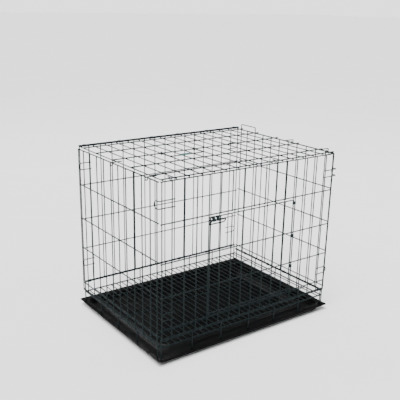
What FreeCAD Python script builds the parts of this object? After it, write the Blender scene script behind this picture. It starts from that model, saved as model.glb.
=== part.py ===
import FreeCAD, Part
import math
import os
from FreeCAD import Vector

# Folding wire dog crate, 24 inch class. Millimetres, +Z up, +X along the crate, door on the -Y side.
# Origin: the middle of the tray's footprint, on the surface that the crate stands on.

# ---- driving dimensions -------------------------------------------------------------------------
CAGE_LENGTH = 610.0        # between the axes of the upright wires of the two ends
CAGE_DEPTH = 442.0         # between the axes of the upright wires of the two long sides
TOP_HEIGHT = 508.4         # axis of the top's hinge wire above the ground
PANEL_TOP = 500.4          # axis of the highest cross wire of the front and of both ends
FLOOR_HEIGHT = 49.0        # axis of the wires of the floor grid

UPRIGHT_D = 3.0            # vertical wires
CROSS_D = 3.2              # horizontal wires and hinge wires
MESH_D = 2.8               # floor mesh, top mesh and bent hooks
FRAME_D = 4.0              # wire round the floor grid
WELD = 0.05                # how far crossed wires sink into each other where they are welded

# each panel folds flat on the one before it, so the hinge wires climb by one panel thickness
LAYER = 7.7
LEFT_HINGE = 55.0
RIGHT_HINGE = LEFT_HINGE + LAYER
FRONT_HINGE = RIGHT_HINGE + LAYER
REAR_HINGE = FRONT_HINGE + LAYER

UPRIGHT_OUT = (UPRIGHT_D + CROSS_D) / 2 - WELD     # uprights stand outside the cross wires
PLANE_X = CAGE_LENGTH / 2 - UPRIGHT_OUT            # plane of the end panels' cross wires
PLANE_Y = CAGE_DEPTH / 2 - UPRIGHT_OUT             # plane of the long sides' cross wires
CORNER_GAP = 3.45                                  # between a panel's wire ends and the next plane
SIDE_REACH = PLANE_X - CORNER_GAP                  # the long sides pass between the two ends
END_REACH = PLANE_Y - CORNER_GAP                   # the ends pass between the two long sides

# hinge clips: a flat steel band bent round two wires, tight on one and turning on the other
CLIP_WIDTH = 8.0
CLIP_BAND = 0.8
CLIP_PLAY = 0.3
HINGE_GAP = 0.3
HINGE_STEP = CROSS_D + HINGE_GAP                   # hinge wire to the panel's bottom wire

SIDE_PITCH = 38.1
SIDE_GAPS = 16
END_PITCH = 40.0
END_INNER_WIRES = 10
SIDE_POST = SIDE_REACH - UPRIGHT_D / 2 - 0.1
END_POST = END_REACH - UPRIGHT_D / 2 - 1.5

FRONT_LEVELS = [PANEL_TOP, 392.0, 286.3, 192.0, 101.4]
REAR_LEVELS = [391.0, 285.0, 191.0]
END_LEVELS = [PANEL_TOP, 395.0, 291.0, 197.0, 80.5]
UPRIGHT_TOP = PANEL_TOP + CROSS_D / 2              # uprights end flush with the highest cross wire

# doorway in the front, between the fourth uprights from the middle
DOOR_POST = 4 * SIDE_PITCH
LINTEL = FRONT_LEVELS[1]
SILL = FRONT_LEVELS[4]
DOOR_TOP = 384.0
DOOR_BOTTOM = 108.6
DOOR_LEFT = -DOOR_POST + 4.4
DOOR_RIGHT = DOOR_POST - 6.4
DOOR_LEVELS = [DOOR_TOP, 286.3, 192.0, DOOR_BOTTOM]
DOOR_CLIP_LEVELS = [376.0, 277.0, 183.0]

# door bolt: one bent wire, its outer rod in front of the uprights and its inner rod behind them
BOLT_D = 3.2
BOLT_OUTER_Z = 376.0
BOLT_INNER_Z = 365.0
BOLT_OUTER_OUT = UPRIGHT_OUT + UPRIGHT_D / 2 + BOLT_D / 2 + 0.3
BOLT_INNER_OUT = UPRIGHT_OUT - UPRIGHT_D / 2 - BOLT_D / 2 - 0.35
BOLT_RIGHT = -99.0
BOLT_TIP = -DOOR_POST + UPRIGHT_D / 2 + 0.5
BOLT_EYE_X = -151.0
BOLT_EYE_R = 6.0
BOLT_GUIDES = [-137.0, -123.0]

# top panel: long wires lie on the cross mesh, and the rear one hangs from the rear side's hinge wire
TOP_HINGE_OUT = UPRIGHT_OUT + (UPRIGHT_D + CROSS_D) / 2 - WELD
TOP_HINGE_Y = PLANE_Y + TOP_HINGE_OUT
TOP_LONG_Z = TOP_HEIGHT - 1.5
TOP_MESH_Z = TOP_LONG_Z - (CROSS_D + MESH_D) / 2 + WELD
TOP_FRONT_Y = -218.0
TOP_REAR_Y = 217.1
TOP_LONG_WIRES = [TOP_FRONT_Y, -173.0, -76.0, 21.0, 115.0, 194.0, TOP_REAR_Y]
TOP_LONG_REACH = 297.0
TOP_MESH_PITCH = 39.0
TOP_MESH_WIRES = 16

# carry handle, folded flat on the top panel
HANDLE_WIRE_Y = 21.0
HANDLE_LEGS = [-142.0, -30.0]
HANDLE_REACH = 48.0
GRIP_CENTRE_X = -95.25
GRIP_LENGTH = 32.0
GRIP_D = 5.6

# hooks that hold the erected panels together
HOOK_D = 2.8
HOOK_HALF = 9.75           # from a U hook's middle to each of its legs
HOOK_HIGH = 445.25
HOOK_LOW = 140.5
HOOK_ROOT = 7 * SIDE_PITCH - 7.0
HOOK_WRAP_X = PLANE_X + 7.2
HOOK_WRAP_DEPTH = 12.0
HOOK_BEND = 4.0
HOOK_TIP_X = PLANE_X - CROSS_D / 2 - HOOK_D / 2 - 0.4
END_HOOK_ROWS = {-1: [-178.0, -3.0], 1: [-178.0, -28.0]}
END_HOOK_ROOT = 283.0
END_HOOK_REACH = 35.0
FRONT_HOOK_COLUMNS = [-274.0, 66.0, 274.0]
FRONT_HOOK_ROOT = -212.0
FRONT_HOOK_REACH = 17.5
CURL_R = 3.9               # round ends of the top's hooks

# stop loop that stands on two uprights of the right end
LOOP_Y = [140.0, END_POST]
LOOP_TOP = 518.0

# base: floor grid on a frame, and short legs that carry the hinge wires
FLOOR_PITCH = 19.05
FLOOR_WIRES = 31
FLOOR_RUNNERS = [-140.0, 0.0, 140.0]
LEG_FOOT = 21.2
SIDE_LEG_PITCH = 99.0
END_LEG_ROWS = [-208.0, -104.0, 0.0, 104.0, 208.0]
SIDE_CLIPS = [-281.9, -171.45, -57.15, 57.15, 171.45, 281.9]
TOP_CLIPS = [-279.6, -164.0, -48.3, 48.3, 164.0, 279.6]
END_CLIPS = [-160.0, -40.0, 40.0, 160.0]

# tray: a shallow pan with a flat rim that the legs stand on
TRAY_RIM = (624.0, 462.0)
TRAY_RIM_Z = 21.0
TRAY_SKIN = 2.5
TRAY_FOOT = (594.0, 420.0)
TRAY_WALL_TOP = (602.0, 434.0)
TRAY_MOUTH = (592.0, 424.0)
TRAY_FLOOR = (588.0, 414.0)
TRAY_CORNER = 5.0
TRAY_FOOT_CORNER = 18.0
TRAY_FLOOR_CORNER = 15.0

OUT = "parts"


# ---- building blocks ----------------------------------------------------------------------------
def save(name, shapes):
    """Writes one node: a single solid, or several that stay separate."""
    shape = shapes[0] if len(shapes) == 1 else Part.makeCompound(shapes)
    shape.exportStep(os.path.join(OUT, name + ".step"))


def rod(start, end, diameter):
    """A straight length of wire."""
    run = end.sub(start)
    return Part.makeCylinder(diameter / 2, run.Length, start, run)


def bent_wire(points, bends, diameter):
    """A wire along straight runs that meet in tangent arcs, one bend radius for each inner point."""
    edges = []
    at = points[0]
    for i, radius in enumerate(bends, start=1):
        before = points[i - 1].sub(points[i])
        after = points[i + 1].sub(points[i])
        before.normalize()
        after.normalize()
        half = before.getAngle(after) / 2
        back = radius / math.tan(half)
        enter = points[i].add(Vector(before).multiply(back))
        leave = points[i].add(Vector(after).multiply(back))
        towards = before.add(after)
        towards.normalize()
        middle = points[i].add(towards.multiply(radius / math.sin(half) - radius))
        if enter.sub(at).Length > 1e-6:
            edges.append(Part.LineSegment(at, enter).toShape())
        edges.append(Part.Arc(enter, middle, leave).toShape())
        at = leave
    if points[-1].sub(at).Length > 1e-6:
        edges.append(Part.LineSegment(at, points[-1]).toShape())
    path = Part.Wire(edges)
    section = Part.Wire([Part.makeCircle(diameter / 2, points[0], points[1].sub(points[0]))])
    return path.makePipeShell([section], True, False)


def egg(centre, other, radius, other_radius, axis):
    """A closed outline round two circles of different size, in the plane across axis."""
    along = other.sub(centre)
    distance = along.Length
    along.normalize()
    across = axis.cross(along)
    lean = (radius - other_radius) / distance
    rise = math.sqrt(1 - lean * lean)

    def tangent(origin, size, sign):
        outward = Vector(across).multiply(sign * size * rise)
        return origin.add(Vector(along).multiply(size * lean)).add(outward)

    a, b = tangent(centre, radius, 1), tangent(centre, radius, -1)
    c, d = tangent(other, other_radius, -1), tangent(other, other_radius, 1)
    near = centre.sub(Vector(along).multiply(radius))
    far = other.add(Vector(along).multiply(other_radius))
    return Part.Wire([
        Part.Arc(a, near, b).toShape(),
        Part.LineSegment(b, c).toShape(),
        Part.Arc(c, far, d).toShape(),
        Part.LineSegment(d, a).toShape(),
    ])


def clip(pivot, fixed, axis, pivot_d, fixed_d):
    """A hinge clip: turns on the wire at pivot, and is closed tight on the wire at fixed."""
    loose = pivot_d / 2 + CLIP_PLAY
    tight = fixed_d / 2 + 0.02
    outside = Part.Face(egg(pivot, fixed, loose + CLIP_BAND, tight + CLIP_BAND, axis))
    inside = Part.Face(egg(pivot, fixed, loose, tight, axis))
    band = outside.cut(inside)
    band.translate(Vector(axis).multiply(-CLIP_WIDTH / 2))
    return band.extrude(Vector(axis).multiply(CLIP_WIDTH)).Solids[0]


def eye(centre, radius, axis, diameter):
    """A wire bent into a closed ring."""
    return Part.makeTorus(radius, diameter / 2, centre, axis)


def rounded_slab(size, corner, z, height, top_size=None):
    """A slab with rounded corners, straight or flaring to top_size."""
    outlines = []
    for (length, depth), level in ((size, z), (top_size or size, z + height)):
        x, y = length / 2 - corner, depth / 2 - corner
        r = corner
        s = r * math.sqrt(0.5)
        edges = []
        for sx, sy, turn in ((1, -1, 0), (1, 1, 90), (-1, 1, 180), (-1, -1, 270)):
            cx, cy = sx * x, sy * y
            first = math.radians(turn - 90)
            last = math.radians(turn)
            begin = Vector(cx + r * math.cos(first), cy + r * math.sin(first), level)
            finish = Vector(cx + r * math.cos(last), cy + r * math.sin(last), level)
            edges.append(Part.Arc(begin, Vector(cx + sx * s, cy + sy * s, level), finish).toShape())
        joined = []
        for i, arc in enumerate(edges):
            nxt = edges[(i + 1) % 4]
            joined.append(arc)
            joined.append(Part.LineSegment(arc.Vertexes[-1].Point, nxt.Vertexes[0].Point).toShape())
        outlines.append(Part.Wire(joined))
    return Part.makeLoft(outlines, True, True)


# ---- where a panel's wires lie ------------------------------------------------------------------
def on_front(along, out, z):
    return Vector(along, -(PLANE_Y + out), z)


def on_rear(along, out, z):
    return Vector(along, PLANE_Y + out, z)


def on_left(along, out, z):
    return Vector(-(PLANE_X + out), along, z)


def on_right(along, out, z):
    return Vector(PLANE_X + out, along, z)


def uprights(place, columns, low, high):
    return [rod(place(a, UPRIGHT_OUT, low), place(a, UPRIGHT_OUT, high), UPRIGHT_D) for a in columns]


def cross_wires(place, levels, start, end):
    return [rod(place(start, 0, z), place(end, 0, z), CROSS_D) for z in levels]


def hinge_clips(place, columns, hinge_z, axis):
    return [
        clip(place(a, 0, hinge_z), place(a, 0, hinge_z + HINGE_STEP), axis, CROSS_D, CROSS_D)
        for a in columns
    ]


def side_columns():
    inner = [(i - SIDE_GAPS / 2) * SIDE_PITCH for i in range(1, SIDE_GAPS)]
    return [-SIDE_POST] + inner + [SIDE_POST]


def end_columns():
    inner = [(i - (END_INNER_WIRES - 1) / 2) * END_PITCH for i in range(END_INNER_WIRES)]
    return [-END_POST] + inner + [END_POST]


def flat_hook(place, side, level):
    """A U of wire that lies on a long side, its round end at the corner."""
    out = UPRIGHT_OUT + (UPRIGHT_D + HOOK_D) / 2 - WELD
    points = [
        place(side * HOOK_ROOT, out, level + HOOK_HALF),
        place(side * HOOK_TIP_X, out, level + HOOK_HALF),
        place(side * HOOK_TIP_X, out, level - HOOK_HALF),
        place(side * HOOK_ROOT, out, level - HOOK_HALF),
    ]
    return bent_wire(points, [HOOK_HALF - 0.05, HOOK_HALF - 0.05], HOOK_D)


def wrapped_hook(place, side, level):
    """A U of wire on a long side whose round end turns the corner and lies over the end panel."""
    out = UPRIGHT_OUT + (UPRIGHT_D + HOOK_D) / 2 - WELD
    points = [
        place(side * HOOK_ROOT, out, level + HOOK_HALF),
        place(side * HOOK_WRAP_X, out, level + HOOK_HALF),
        place(side * HOOK_WRAP_X, -HOOK_WRAP_DEPTH, level + HOOK_HALF),
        place(side * HOOK_WRAP_X, -HOOK_WRAP_DEPTH, level - HOOK_HALF),
        place(side * HOOK_WRAP_X, out, level - HOOK_HALF),
        place(side * HOOK_ROOT, out, level - HOOK_HALF),
    ]
    round_end = HOOK_HALF - 0.05
    return bent_wire(points, [HOOK_BEND, round_end, round_end, HOOK_BEND], HOOK_D)


def curled_hook(root, outward, reach):
    """A straight arm whose far end curls down and back through three quarters of a turn."""
    tip = root.add(Vector(outward).multiply(reach))
    back = Vector(outward).multiply(-2 * CURL_R)
    down = Vector(0, 0, -2 * CURL_R)
    points = [root, tip, tip.add(down), tip.add(down).add(back), tip.add(down.multiply(0.5)).add(back)]
    return bent_wire(points, [CURL_R, CURL_R, CURL_R], HOOK_D)


# ---- sub-parts ----------------------------------------------------------------------------------
def build_base():
    frame_x = PLANE_X - (CROSS_D + FRAME_D) / 2 + WELD
    frame_y = PLANE_Y - (CROSS_D + FRAME_D) / 2 + WELD
    between_x = frame_x + FRAME_D / 2
    between_y = frame_y - FRAME_D / 2 + WELD
    z = FLOOR_HEIGHT
    save("floor_frame", [
        rod(Vector(-between_x, -frame_y, z), Vector(between_x, -frame_y, z), FRAME_D),
        rod(Vector(-between_x, frame_y, z), Vector(between_x, frame_y, z), FRAME_D),
        rod(Vector(-frame_x, -between_y, z), Vector(-frame_x, between_y, z), FRAME_D),
        rod(Vector(frame_x, -between_y, z), Vector(frame_x, between_y, z), FRAME_D),
    ])
    columns = [(i - (FLOOR_WIRES - 1) / 2) * FLOOR_PITCH for i in range(FLOOR_WIRES)]
    save("floor_mesh", [rod(Vector(x, -between_y, z), Vector(x, between_y, z), MESH_D) for x in columns])
    runner_z = z - (MESH_D + CROSS_D) / 2 + WELD
    runner_x = frame_x - FRAME_D / 2 + 0.6
    save("floor_runners", [
        rod(Vector(-runner_x, y, runner_z), Vector(runner_x, y, runner_z), CROSS_D)
        for y in FLOOR_RUNNERS
    ])
    hinges = (
        ("front", on_front, FRONT_HINGE, SIDE_REACH, [i * SIDE_LEG_PITCH for i in range(-3, 4)]),
        ("rear", on_rear, REAR_HINGE, SIDE_REACH, [i * SIDE_LEG_PITCH for i in range(-3, 4)]),
        ("left", on_left, LEFT_HINGE, END_REACH, END_LEG_ROWS),
        ("right", on_right, RIGHT_HINGE, END_REACH, END_LEG_ROWS),
    )
    for name, place, level, reach, legs in hinges:
        save(name + "_hinge_wire", [rod(place(-reach, 0, level), place(reach, 0, level), CROSS_D)])
        top = level - CROSS_D / 2 + WELD
        save(name + "_legs", [rod(place(a, 0, LEG_FOOT), place(a, 0, top), CROSS_D) for a in legs])


def build_tray():
    below_rim = TRAY_RIM_Z - TRAY_SKIN
    walls = rounded_slab(TRAY_FOOT, TRAY_FOOT_CORNER, 0, below_rim, TRAY_WALL_TOP)
    rim = rounded_slab(TRAY_RIM, TRAY_CORNER, below_rim, TRAY_SKIN)
    hollow = rounded_slab(TRAY_FLOOR, TRAY_FLOOR_CORNER, TRAY_SKIN, below_rim, TRAY_MOUTH)
    save("tray", walls.fuse(rim).cut(hollow).removeSplitter().Solids)


def build_front():
    columns = side_columns()
    bottom = FRONT_HINGE + HINGE_STEP
    low = bottom - CROSS_D / 2
    in_doorway = [a for a in columns if abs(a) < DOOR_POST - 1]
    full = [a for a in columns if abs(a) > DOOR_POST - 1]
    save("front_uprights", uprights(on_front, full, low, UPRIGHT_TOP))
    save("front_short_uprights",
         uprights(on_front, in_doorway, low, SILL + CROSS_D / 2)
         + uprights(on_front, in_doorway, LINTEL - CROSS_D / 2, UPRIGHT_TOP))
    jamb = DOOR_POST - UPRIGHT_D / 2
    beside = FRONT_LEVELS[2:4]
    save("front_cross_wires",
         cross_wires(on_front, [PANEL_TOP, LINTEL, SILL, bottom], -SIDE_REACH, SIDE_REACH)
         + cross_wires(on_front, beside, -SIDE_REACH, -jamb)
         + cross_wires(on_front, beside, jamb, SIDE_REACH))
    save("front_hinge_clips", hinge_clips(on_front, SIDE_CLIPS, FRONT_HINGE, Vector(1, 0, 0)))
    save("front_high_hooks", [wrapped_hook(on_front, side, HOOK_HIGH) for side in (-1, 1)])
    save("front_low_hooks", [flat_hook(on_front, side, HOOK_LOW) for side in (-1, 1)])


def build_door():
    columns = [i * SIDE_PITCH for i in range(-3, 4)]
    save("door_frame_uprights",
         uprights(on_front, [DOOR_LEFT, DOOR_RIGHT], DOOR_BOTTOM - CROSS_D / 2, DOOR_TOP + CROSS_D / 2))
    save("door_bars",
         uprights(on_front, columns, DOOR_BOTTOM - CROSS_D / 2, DOOR_TOP + CROSS_D / 2))
    save("door_cross_wires",
         cross_wires(on_front, DOOR_LEVELS, DOOR_LEFT - UPRIGHT_D / 2, DOOR_RIGHT + UPRIGHT_D / 2))
    up = Vector(0, 0, 1)
    save("door_hinge_clips", [
        clip(
            on_front(DOOR_POST, UPRIGHT_OUT, z), on_front(DOOR_RIGHT, UPRIGHT_OUT, z),
            up, UPRIGHT_D, UPRIGHT_D,
        )
        for z in DOOR_CLIP_LEVELS
    ])
    save("bolt_guides", [
        clip(
            on_front(x, BOLT_OUTER_OUT, BOLT_OUTER_Z), on_front(x, 0, DOOR_TOP),
            Vector(1, 0, 0), BOLT_D, CROSS_D,
        )
        for x in BOLT_GUIDES
    ])


def build_bolt():
    points = [
        on_front(BOLT_EYE_X + BOLT_EYE_R, BOLT_OUTER_OUT, BOLT_OUTER_Z),
        on_front(BOLT_RIGHT, BOLT_OUTER_OUT, BOLT_OUTER_Z),
        on_front(BOLT_RIGHT, BOLT_INNER_OUT, BOLT_INNER_Z),
        on_front(BOLT_TIP, BOLT_INNER_OUT, BOLT_INNER_Z),
    ]
    save("door_bolt", [bent_wire(points, [5.0, 5.0], BOLT_D)])
    centre = on_front(BOLT_EYE_X, BOLT_OUTER_OUT, BOLT_OUTER_Z)
    save("bolt_eye", [eye(centre, BOLT_EYE_R - BOLT_D / 2, Vector(0, 1, 0), BOLT_D)])


def build_rear():
    columns = side_columns()
    bottom = REAR_HINGE + HINGE_STEP
    save("rear_uprights", uprights(on_rear, columns, bottom - CROSS_D / 2, TOP_HEIGHT + 1.2))
    save("rear_cross_wires",
         cross_wires(on_rear, REAR_LEVELS + [bottom], -SIDE_REACH, SIDE_REACH))
    save("rear_top_wire", [
        rod(
            on_rear(-SIDE_REACH, TOP_HINGE_OUT, TOP_HEIGHT),
            on_rear(SIDE_REACH, TOP_HINGE_OUT, TOP_HEIGHT),
            CROSS_D,
        )
    ])
    save("rear_hinge_clips", hinge_clips(on_rear, SIDE_CLIPS, REAR_HINGE, Vector(1, 0, 0)))
    save("rear_hooks", [flat_hook(on_rear, side, z) for side in (-1, 1) for z in (HOOK_HIGH, HOOK_LOW)])


def build_ends():
    for name, place, hinge in (("left", on_left, LEFT_HINGE), ("right", on_right, RIGHT_HINGE)):
        bottom = hinge + HINGE_STEP
        save(name + "_end_uprights", uprights(place, end_columns(), bottom - CROSS_D / 2, UPRIGHT_TOP))
        save(name + "_end_cross_wires", cross_wires(place, END_LEVELS + [bottom], -END_REACH, END_REACH))
        save(name + "_end_hinge_clips", hinge_clips(place, END_CLIPS, hinge, Vector(0, 1, 0)))
    near, far = LOOP_Y
    loop = [
        on_right(near, UPRIGHT_OUT, UPRIGHT_TOP),
        on_right(near, UPRIGHT_OUT, LOOP_TOP),
        on_right(far, UPRIGHT_OUT, LOOP_TOP),
        on_right(far, UPRIGHT_OUT, UPRIGHT_TOP),
    ]
    save("right_end_loop", [bent_wire(loop, [4.0, 4.0], UPRIGHT_D)])


def build_top():
    save("top_long_wires", [
        rod(Vector(-TOP_LONG_REACH, y, TOP_LONG_Z), Vector(TOP_LONG_REACH, y, TOP_LONG_Z), CROSS_D)
        for y in TOP_LONG_WIRES
    ])
    columns = [(i - (TOP_MESH_WIRES - 1) / 2) * TOP_MESH_PITCH for i in range(TOP_MESH_WIRES)]
    front, rear = TOP_FRONT_Y - CROSS_D / 2, TOP_REAR_Y + CROSS_D / 2
    save("top_mesh", [
        rod(Vector(x, front, TOP_MESH_Z), Vector(x, rear, TOP_MESH_Z), MESH_D)
        for x in columns
    ])
    save("top_hinge_clips", [
        clip(
            Vector(x, TOP_HINGE_Y, TOP_HEIGHT), Vector(x, TOP_REAR_Y, TOP_LONG_Z),
            Vector(1, 0, 0), CROSS_D, CROSS_D,
        )
        for x in TOP_CLIPS
    ])
    arm_z = TOP_MESH_Z + (MESH_D + HOOK_D) / 2 - WELD
    save("top_end_hooks", [
        curled_hook(Vector(side * END_HOOK_ROOT, y, arm_z), Vector(side, 0, 0), END_HOOK_REACH)
        for side, rows in END_HOOK_ROWS.items()
        for y in rows
    ])
    over_z = TOP_LONG_Z + (CROSS_D + HOOK_D) / 2 - WELD
    save("top_front_hooks", [
        curled_hook(Vector(x, FRONT_HOOK_ROOT, over_z), Vector(0, -1, 0), FRONT_HOOK_REACH)
        for x in FRONT_HOOK_COLUMNS
    ])


def build_handle():
    z = TOP_LONG_Z + 0.4
    wire_d = CROSS_D
    left, right = HANDLE_LEGS
    grip_y = HANDLE_WIRE_Y - HANDLE_REACH
    eye_r = CROSS_D / 2 + 0.35 + wire_d / 2
    leg_end = HANDLE_WIRE_Y - eye_r - wire_d / 2 + WELD
    bail = [
        Vector(left, leg_end, z),
        Vector(left, grip_y, z),
        Vector(right, grip_y, z),
        Vector(right, leg_end, z),
    ]
    save("handle_bail", [bent_wire(bail, [10.0, 10.0], wire_d)])
    save("handle_eyes", [eye(Vector(x, HANDLE_WIRE_Y, TOP_LONG_Z), eye_r, Vector(1, 0, 0), wire_d)
                         for x in HANDLE_LEGS])
    start = GRIP_CENTRE_X - GRIP_LENGTH / 2
    sleeve = Part.makeCylinder(GRIP_D / 2, GRIP_LENGTH, Vector(start, grip_y, z + 1.0), Vector(1, 0, 0))
    bore = Part.makeCylinder(wire_d / 2 + 0.02, GRIP_LENGTH, Vector(start, grip_y, z), Vector(1, 0, 0))
    save("handle_grip", [sleeve.cut(bore)])


def main():
    os.makedirs("parts", exist_ok=True)
    build_base()
    build_tray()
    build_front()
    build_door()
    build_bolt()
    build_rear()
    build_ends()
    build_top()
    build_handle()


main()
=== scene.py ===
import math

import bmesh
import bpy
import numpy as np
from mathutils import Matrix, Vector


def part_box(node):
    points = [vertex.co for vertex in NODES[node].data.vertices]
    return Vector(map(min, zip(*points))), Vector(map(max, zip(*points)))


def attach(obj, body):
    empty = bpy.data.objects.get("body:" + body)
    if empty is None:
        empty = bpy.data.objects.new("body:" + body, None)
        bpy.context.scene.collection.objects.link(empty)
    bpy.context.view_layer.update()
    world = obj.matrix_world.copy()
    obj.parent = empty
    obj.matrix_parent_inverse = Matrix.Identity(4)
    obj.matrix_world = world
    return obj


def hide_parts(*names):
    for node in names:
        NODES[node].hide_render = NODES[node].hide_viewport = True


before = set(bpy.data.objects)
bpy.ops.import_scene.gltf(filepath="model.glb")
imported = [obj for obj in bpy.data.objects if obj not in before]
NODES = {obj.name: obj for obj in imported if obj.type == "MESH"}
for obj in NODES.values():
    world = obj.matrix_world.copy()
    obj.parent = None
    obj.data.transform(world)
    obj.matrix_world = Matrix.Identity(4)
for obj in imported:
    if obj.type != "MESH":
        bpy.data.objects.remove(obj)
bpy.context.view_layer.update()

TOUCH = 0.0002             # crossed wires closer than this are welded
BEAD_WIDTH = 0.0017        # half width of the squeezed-out metal at a weld
BEAD_LENGTH = 0.0024
STEP_WIDTH = 0.0085        # the tray's three steps down to its floor
STEP_DROP = 0.0012
TRAY_SKEW = 1.22           # the tray's border is wider along its long sides
TRAY_SKIN = 0.0024         # thickness of the tray's wall
TRAY_MAX_CORNER = 0.030    # largest corner radius, reached at the tray's floor
GRIP_RIBS = 11
GRIP_SIDES = 28            # points round one section of the grip
FLOOR_HALF = 40.0          # the studio floor reaches this far each way
LIT_POINT = (0.0, 0.0, 0.25)


# ---- material building --------------------------------------------------------------------------
class Nodes:
    """A short way to add shader nodes to one material."""

    def __init__(self, name):
        self.material = bpy.data.materials.new(name)
        self.material.use_nodes = True
        self.tree = self.material.node_tree
        self.shader = self.tree.nodes["Principled BSDF"]
        self.place = self.add("ShaderNodeTexCoord").outputs["Object"]

    def add(self, kind, **settings):
        node = self.tree.nodes.new(kind)
        for key, value in settings.items():
            setattr(node, key, value)
        return node

    def join(self, source, target):
        self.tree.links.new(source, target)

    def stretched(self, scale):
        node = self.add("ShaderNodeMapping")
        node.inputs["Scale"].default_value = scale
        self.join(self.place, node.inputs["Vector"])
        return node.outputs["Vector"]

    def noise(self, scale, detail=4.0, roughness=0.55, place=None):
        node = self.add("ShaderNodeTexNoise")
        node.inputs["Scale"].default_value = scale
        node.inputs["Detail"].default_value = detail
        node.inputs["Roughness"].default_value = roughness
        self.join(place or self.place, node.inputs["Vector"])
        return node.outputs["Fac"]

    def cells(self, scale, smoothness=0.6):
        node = self.add("ShaderNodeTexVoronoi", feature="SMOOTH_F1")
        node.inputs["Scale"].default_value = scale
        node.inputs["Smoothness"].default_value = smoothness
        self.join(self.place, node.inputs["Vector"])
        return node.outputs["Distance"]

    def span(self, source, low, high, start, end):
        node = self.add("ShaderNodeMapRange")
        names = ("From Min", "From Max", "To Min", "To Max")
        for socket, value in zip(names, (low, high, start, end)):
            node.inputs[socket].default_value = value
        self.join(source, node.inputs["Value"])
        return node.outputs["Result"]

    def ramp(self, source, stops):
        node = self.add("ShaderNodeValToRGB")
        band = node.color_ramp.elements
        while len(band) < len(stops):
            band.new(0.5)
        for element, (at, colour) in zip(band, stops):
            element.position = at
            element.color = (*colour, 1.0)
        self.join(source, node.inputs["Fac"])
        return node.outputs["Color"]

    def blend(self, amount, first, second):
        node = self.add("ShaderNodeMix", data_type="RGBA")
        self.join(amount, node.inputs["Factor"])
        for socket, value in ((6, first), (7, second)):
            if isinstance(value, tuple):
                node.inputs[socket].default_value = (*value, 1.0)
            else:
                self.join(value, node.inputs[socket])
        return node.outputs[2]

    def maths(self, operation, first, second):
        node = self.add("ShaderNodeMath", operation=operation, use_clamp=True)
        for socket, value in enumerate((first, second)):
            if isinstance(value, float):
                node.inputs[socket].default_value = value
            else:
                self.join(value, node.inputs[socket])
        return node.outputs[0]

    def bumps(self, layers):
        """Stacks bump maps: (height, distance in metres, strength)."""
        normal = None
        for height, distance, strength in layers:
            node = self.add("ShaderNodeBump")
            node.inputs["Distance"].default_value = distance
            node.inputs["Strength"].default_value = strength
            self.join(height, node.inputs["Height"])
            if normal is not None:
                self.join(normal, node.inputs["Normal"])
            normal = node.outputs["Normal"]
        self.join(normal, self.shader.inputs["Normal"])

    def edges(self, low, high):
        """Light on sharp outer edges, where the finish wears first."""
        pointiness = self.add("ShaderNodeNewGeometry").outputs["Pointiness"]
        return self.span(pointiness, low, high, 0.0, 1.0)


def enamel_material():
    """Dark teal hammered enamel: pooled cells and a few paler specks."""
    m = Nodes("hammered_enamel")
    pools = m.cells(620.0)
    drift = m.noise(38.0)
    grain = m.noise(900.0, 3.0, 0.6)
    base = m.ramp(drift, [(0.30, (0.0016, 0.0050, 0.0056)), (0.70, (0.0034, 0.0096, 0.0104))])
    pooled = m.ramp(pools, [(0.15, (0.0070, 0.0180, 0.0190)), (0.55, (0.0014, 0.0042, 0.0048))])
    colour = m.blend(m.span(pools, 0.1, 0.7, 0.25, 0.7), base, pooled)
    specks = m.span(m.noise(170.0, 6.0, 0.7), 0.70, 0.74, 0.0, 0.5)
    colour = m.blend(specks, colour, (0.035, 0.050, 0.052))
    m.join(colour, m.shader.inputs["Base Color"])
    m.join(m.span(pools, 0.1, 0.6, 0.24, 0.44), m.shader.inputs["Roughness"])
    m.shader.inputs["Specular IOR Level"].default_value = 0.12
    m.bumps([(pools, 0.00022, 0.55), (grain, 0.00004, 0.4)])
    return m.material


def band_material():
    """The bent steel clips: the same enamel, rubbed thin where they turn."""
    m = Nodes("clip_band_enamel")
    drift = m.noise(120.0)
    streaks = m.noise(260.0, 4.0, 0.6, m.stretched((1.0, 1.0, 0.2)))
    base = m.ramp(drift, [(0.30, (0.0020, 0.0060, 0.0066)), (0.72, (0.0045, 0.0120, 0.0130))])
    worn = m.maths("MULTIPLY", m.edges(0.55, 0.75), m.span(streaks, 0.35, 0.65, 0.0, 0.5))
    colour = m.blend(worn, base, (0.035, 0.042, 0.043))
    m.join(colour, m.shader.inputs["Base Color"])
    m.join(m.span(streaks, 0.3, 0.7, 0.38, 0.58), m.shader.inputs["Roughness"])
    m.join(m.span(worn, 0.0, 1.0, 0.0, 0.5), m.shader.inputs["Metallic"])
    m.shader.inputs["Specular IOR Level"].default_value = 0.12
    m.bumps([(m.cells(700.0), 0.00012, 0.4), (streaks, 0.00003, 0.4)])
    return m.material


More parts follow.
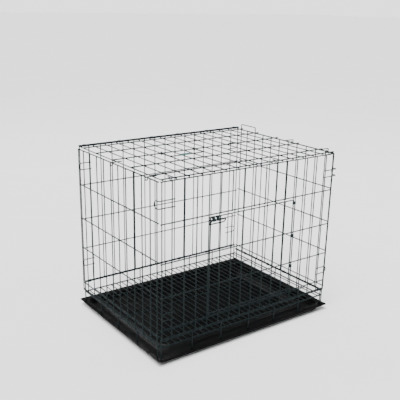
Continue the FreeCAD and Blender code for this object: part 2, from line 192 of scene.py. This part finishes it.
def tray_material():
    """Black moulded plastic with a soft gloss, flow marks, faint scuffs and a little dust."""
    m = Nodes("tray_black_gloss")
    peel = m.noise(320.0, 2.0, 0.5)
    flow = m.noise(9.0, 5.0, 0.6, m.stretched((1.0, 2.6, 1.0)))
    scuff_run = m.noise(60.0, 8.0, 0.75, m.stretched((1.0, 9.0, 4.0)))
    scuffs = m.span(scuff_run, 0.62, 0.72, 0.0, 1.0)
    dust = m.span(m.noise(45.0, 8.0, 0.8), 0.52, 0.80, 0.0, 0.35)
    base = m.ramp(flow, [(0.3, (0.0008, 0.0008, 0.0009)), (0.7, (0.0018, 0.0018, 0.0020))])
    colour = m.blend(m.maths("MULTIPLY", scuffs, 0.30), base, (0.010, 0.010, 0.011))
    colour = m.blend(m.maths("MULTIPLY", dust, 0.20), colour, (0.010, 0.010, 0.010))
    m.join(colour, m.shader.inputs["Base Color"])
    polish = m.span(flow, 0.3, 0.7, 0.13, 0.24)
    m.join(m.maths("ADD", polish, m.maths("MULTIPLY", scuffs, 0.22)), m.shader.inputs["Roughness"])
    m.shader.inputs["Specular IOR Level"].default_value = 0.12
    m.bumps([(flow, 0.0009, 0.25), (peel, 0.00006, 0.5), (scuff_run, 0.00003, 0.3)])
    return m.material


def grip_material():
    """The moulded sleeve on the carry handle: satin teal with a fine moulded grain."""
    m = Nodes("grip_teal_satin")
    drift = m.noise(90.0)
    grain = m.noise(1500.0, 3.0, 0.6)
    colour = m.ramp(drift, [(0.3, (0.010, 0.060, 0.064)), (0.7, (0.020, 0.098, 0.100))])
    speckle = m.span(grain, 0.55, 0.75, 0.0, 0.4)
    m.join(m.blend(speckle, colour, (0.05, 0.15, 0.15)), m.shader.inputs["Base Color"])
    m.join(m.span(drift, 0.3, 0.7, 0.38, 0.52), m.shader.inputs["Roughness"])
    m.bumps([(grain, 0.00008, 0.6)])
    return m.material


def floor_material():
    """A plain pale studio floor."""
    m = Nodes("studio_floor")
    tone = m.noise(3.0, 3.0)
    colour = m.ramp(tone, [(0.3, (0.93, 0.93, 0.93)), (0.7, (0.96, 0.96, 0.96))])
    m.join(colour, m.shader.inputs["Base Color"])
    m.shader.inputs["Roughness"].default_value = 0.75
    return m.material


# ---- meshes -------------------------------------------------------------------------------------
def piece(name, mesh_builder, body, material):
    """Links a new mesh object, gives it its body, slot and material, and returns it."""
    mesh = bpy.data.meshes.new(name)
    mesh_builder.to_mesh(mesh)
    mesh_builder.free()
    for polygon in mesh.polygons:
        polygon.use_smooth = True
    mesh.materials.append(material)
    obj = bpy.data.objects.new(name, mesh)
    bpy.context.scene.collection.objects.link(obj)
    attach(obj, body)
    return obj


def wires(node):
    """The wires of a node: (axis index, lowest corner, highest corner) of each loose part."""
    mesh = NODES[node].data
    points = np.empty(len(mesh.vertices) * 3)
    mesh.vertices.foreach_get("co", points)
    points = points.reshape(-1, 3)
    root = list(range(len(points)))

    def find(i):
        while root[i] != i:
            root[i] = root[root[i]]
            i = root[i]
        return i

    keys = {}
    for i, key in enumerate(map(tuple, np.round(points, 6))):
        root[find(i)] = find(keys.setdefault(key, i))
    for a, b in mesh.edge_keys:
        root[find(a)] = find(b)
    groups = {}
    for i in range(len(points)):
        groups.setdefault(find(i), []).append(i)
    found = []
    for members in groups.values():
        low, high = points[members].min(0), points[members].max(0)
        found.append((int(np.argmax(high - low)), low, high))
    return found


def weld_beads(body, pairs, name, material):
    """Small swellings of metal where the wires of paired nodes cross and touch."""
    builder = bmesh.new()
    for first, second in pairs:
        for axis_a, low_a, high_a in wires(first):
            for axis_b, low_b, high_b in wires(second):
                if axis_a == axis_b:
                    continue
                low, high = np.maximum(low_a, low_b), np.minimum(high_a, high_b)
                if (high - low < -TOUCH).any():
                    continue
                across = 3 - axis_a - axis_b
                size = [BEAD_WIDTH] * 3
                size[axis_b] = BEAD_LENGTH
                size[across] = BEAD_WIDTH * 0.9
                stretch = Matrix.Diagonal((*size, 1.0))
                place = Matrix.Translation(Vector((low + high) / 2)) @ stretch
                bmesh.ops.create_icosphere(builder, subdivisions=2, radius=1.0, matrix=place)
    piece(name, builder, body, material)


def rounded_ring(half_x, half_y, radius, z, steps=10):
    """The points of one rounded rectangle, counter-clockwise from the -Y side's right end."""
    ring = []
    for corner, (sx, sy) in enumerate(((1, -1), (1, 1), (-1, 1), (-1, -1))):
        for step in range(steps + 1):
            turn = math.radians(90 * (corner - 1) + 90 * step / steps)
            ring.append(Vector((sx * (half_x - radius) + radius * math.cos(turn),
                                sy * (half_y - radius) + radius * math.sin(turn), z)))
    return ring


def arc(centre, radius, start, end, steps=6):
    """Points (inset, height) round part of a circle, for a section with soft edges."""
    turns = [math.radians(start + (end - start) * i / steps) for i in range(steps + 1)]
    return [(centre[0] + radius * math.cos(t), centre[1] + radius * math.sin(t)) for t in turns]


def tray_section(depth):
    """The tray's section: from under its middle, out over the rim and in to its sunken floor."""
    section = [(0.040, 0.0), (0.0195, 0.0)]
    section += arc((0.0195, 0.004), 0.004, 270, 190)
    section += [(0.0118, depth - TRAY_SKIN - 0.002), (0.0105, depth - TRAY_SKIN)]
    section += [(0.0012, depth - TRAY_SKIN)]
    section += arc((0.0012, depth - 0.0012), 0.0012, 180, 90)
    section += arc((0.0140, depth - 0.0020), 0.0020, 90, 0)
    section += [(0.0166, depth - 0.0080), (0.0172, 0.0125)]
    section += arc((0.0212, 0.0125), 0.0040, 185, 265)
    section += [(0.0300, 0.0080), (0.0420, 0.0074)]
    for step in range(3):
        start = 0.0450 + STEP_WIDTH * step
        top = 0.0074 - STEP_DROP * step
        section += [(start, top), (start + 0.0010, top + 0.0006), (start + 0.0030, top + 0.0006)]
        section += [(start + 0.0042, top), (start + 0.0050, top - STEP_DROP * 0.8)]
    section += [(0.0720, 0.0036), (0.0760, 0.0033)]
    return section


def build_tray(material):
    """The drip tray as one moulding: flat rim, dished border, stepped edge and sunken floor."""
    low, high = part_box("tray")
    half_x, half_y = (high.x - low.x) / 2, (high.y - low.y) / 2
    depth = high.z - low.z
    builder = bmesh.new()
    loops = []
    for inset, height in tray_section(depth):
        radius = min(0.005 + 0.75 * inset, TRAY_MAX_CORNER)
        ring = rounded_ring(half_x - inset, half_y - inset * TRAY_SKEW, radius, low.z + height)
        loops.append([builder.verts.new(point) for point in ring])
    for near, far in zip(loops, loops[1:]):
        for i in range(len(near)):
            following = (i + 1) % len(near)
            builder.faces.new((near[i], near[following], far[following], far[i]))
    builder.faces.new(list(reversed(loops[-1])))
    builder.faces.new(loops[0])
    bmesh.ops.recalc_face_normals(builder, faces=builder.faces)
    tray = piece("tray_moulding", builder, "tray", material)
    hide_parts("tray")


def build_grip(material):
    """The ribbed sleeve on the handle."""
    low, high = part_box("handle_grip")
    middle = (low + high) / 2
    radius = (high.z - low.z) / 2
    length = high.x - low.x
    steps = GRIP_RIBS * 6
    turns = [2 * math.pi * i / GRIP_SIDES for i in range(GRIP_SIDES)]
    builder = bmesh.new()
    sections = []
    for step in range(steps + 1):
        along = step / steps
        wave = 0.5 - 0.5 * math.cos(2 * math.pi * GRIP_RIBS * along)
        end = min(along, 1 - along) * length
        size = radius * (0.86 + 0.14 * wave) * min(1.0, 0.75 + end / 0.004)
        x = low.x + along * length
        sections.append([
            builder.verts.new((x, middle.y + size * math.cos(t), middle.z + size * math.sin(t)))
            for t in turns
        ])
    for near, far in zip(sections, sections[1:]):
        for i in range(GRIP_SIDES):
            following = (i + 1) % GRIP_SIDES
            builder.faces.new((near[i], near[following], far[following], far[i]))
    builder.faces.new(sections[0])
    builder.faces.new(list(reversed(sections[-1])))
    bmesh.ops.recalc_face_normals(builder, faces=builder.faces)
    grip = piece("grip_sleeve", builder, "handle", material)
    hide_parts("handle_grip")


# ---- the object ---------------------------------------------------------------------------------
def dress_wires(enamel, band):
    """Gives every carried-over CAD node its finish."""
    for name, obj in NODES.items():
        if name in ("tray", "handle_grip"):
            continue
        finish = band if name.endswith("_clips") or name == "bolt_guides" else enamel
        for index in range(len(obj.material_slots)):
            obj.material_slots[index].material = finish


def build_welds(enamel):
    crossings = {
        "base": [("floor_mesh", "floor_frame"), ("floor_mesh", "floor_runners"),
                 ("front_legs", "front_hinge_wire"), ("rear_legs", "rear_hinge_wire"),
                 ("left_legs", "left_hinge_wire"), ("right_legs", "right_hinge_wire")],
        "front_side": [("front_uprights", "front_cross_wires"),
                       ("front_short_uprights", "front_cross_wires")],
        "door": [("door_frame_uprights", "door_cross_wires"), ("door_bars", "door_cross_wires")],
        "rear_side": [("rear_uprights", "rear_cross_wires"), ("rear_uprights", "rear_top_wire")],
        "left_end": [("left_end_uprights", "left_end_cross_wires")],
        "right_end": [("right_end_uprights", "right_end_cross_wires")],
        "top": [("top_mesh", "top_long_wires")],
    }
    for body, pairs in crossings.items():
        weld_beads(body, pairs, body + "_weld_beads", enamel)


# ---- stage --------------------------------------------------------------------------------------
def build_floor():
    builder = bmesh.new()
    bmesh.ops.create_grid(builder, x_segments=2, y_segments=2, size=FLOOR_HALF)
    mesh = bpy.data.meshes.new("studio_floor")
    builder.to_mesh(mesh)
    builder.free()
    mesh.materials.append(floor_material())
    obj = bpy.data.objects.new("studio_floor", mesh)
    bpy.context.scene.collection.objects.link(obj)


def place_light(name, light, place):
    """Links a light at a place, aimed at the middle of the crate."""
    obj = bpy.data.objects.new(name, light)
    obj.location = place
    obj.rotation_euler = (Vector(LIT_POINT) - Vector(place)).to_track_quat("-Z", "Y").to_euler()
    bpy.context.scene.collection.objects.link(obj)


def area_light(name, place, size, power):
    light = bpy.data.lights.new(name, "AREA")
    light.shape = "RECTANGLE"
    light.size, light.size_y = size
    light.energy = power
    place_light(name, light, place)


def sun_light(name, place, soft_angle, strength):
    light = bpy.data.lights.new(name, "SUN")
    light.angle = math.radians(soft_angle)
    light.energy = strength
    place_light(name, light, place)


def build_lights():
    """A bright horizon under a darker sky, one broad soft sun and two faint panels."""
    world = bpy.data.worlds.new("studio")
    world.use_nodes = True
    tree = world.node_tree
    background = tree.nodes["Background"]
    background.inputs["Strength"].default_value = 2.2
    height = tree.nodes.new("ShaderNodeSeparateXYZ")
    shade = tree.nodes.new("ShaderNodeValToRGB")
    shade.color_ramp.elements[0].position = 0.10
    shade.color_ramp.elements[0].color = (0.98, 0.99, 1.0, 1.0)
    shade.color_ramp.elements[1].position = 0.24
    shade.color_ramp.elements[1].color = (0.10, 0.103, 0.106, 1.0)
    direction = tree.nodes.new("ShaderNodeTexCoord").outputs["Generated"]
    tree.links.new(direction, height.inputs["Vector"])
    tree.links.new(height.outputs["Z"], shade.inputs["Fac"])
    tree.links.new(shade.outputs["Color"], background.inputs["Color"])
    bpy.context.scene.world = world
    sun_light("key", (-1.2, -0.9, 3.0), 40.0, 7.0)
    area_light("fill", (2.6, -1.0, 2.2), (2.0, 1.6), 30.0)
    area_light("rear", (0.4, 2.6, 2.6), (2.4, 1.4), 30.0)


def build_camera():
    forward = Vector((0.56187, 0.76210, -0.32170))
    camera = bpy.data.cameras.new("camera")
    camera.lens = 58.74
    camera.sensor_width = 36.0
    camera.shift_x = -0.0018
    camera.shift_y = 0.0565
    camera.clip_start = 0.05
    obj = bpy.data.objects.new("camera", camera)
    roll = Matrix.Rotation(math.radians(1.17), 4, "Z")
    turn = forward.to_track_quat("-Z", "Y").to_matrix().to_4x4() @ roll
    obj.matrix_world = Matrix.Translation((-1.116, -1.492, 0.914)) @ turn
    bpy.context.scene.collection.objects.link(obj)
    bpy.context.scene.camera = obj


ENAMEL = enamel_material()
dress_wires(ENAMEL, band_material())
build_tray(tray_material())
build_grip(grip_material())
build_welds(ENAMEL)
build_floor()
build_lights()
build_camera()
